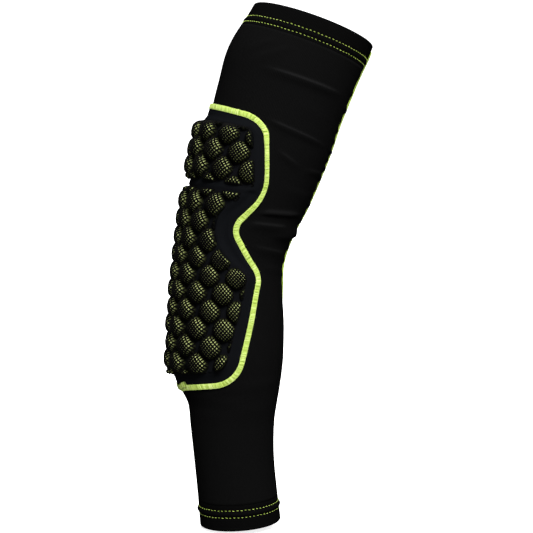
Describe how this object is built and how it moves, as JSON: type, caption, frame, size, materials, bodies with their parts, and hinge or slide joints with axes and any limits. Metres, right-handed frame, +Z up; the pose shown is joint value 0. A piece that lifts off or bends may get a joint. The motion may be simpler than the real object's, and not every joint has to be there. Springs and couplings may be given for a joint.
{
  "type": "padded elbow sleeve",
  "caption": "Stretch-knit arm sleeve for hockey with a bumpy foam elbow and forearm pad in a sewn tape outline and stitched hems, bent as worn.",
  "frame": {"origin": "middle of the arm inside the elbow", "axes": "+Z up the arm towards the shoulder, +X out of the crook of the elbow, -X the back of the elbow with the pad, -Y the side seen in the picture"},
  "size_m": [0.1545, 0.108, 0.3864],
  "materials": {
    "knit": "black fine stretch knit, dull sheen",
    "hem": "black knit folded double, two rows of lime running stitch",
    "panel": "smooth blue-black laminated knit",
    "foam": "black net over lime-faced moulded foam",
    "tape": "lime flatlock thread"
  },
  "bodies": {
    "root": {"sleeve": "knit", "upper_hem": "hem", "lower_hem": "hem", "pad_panel": "panel", "upper_pad": "foam", "lower_pad": "foam", "pad_trim": "tape", "inner_seam": "tape"}
  },
  "joints": []
}
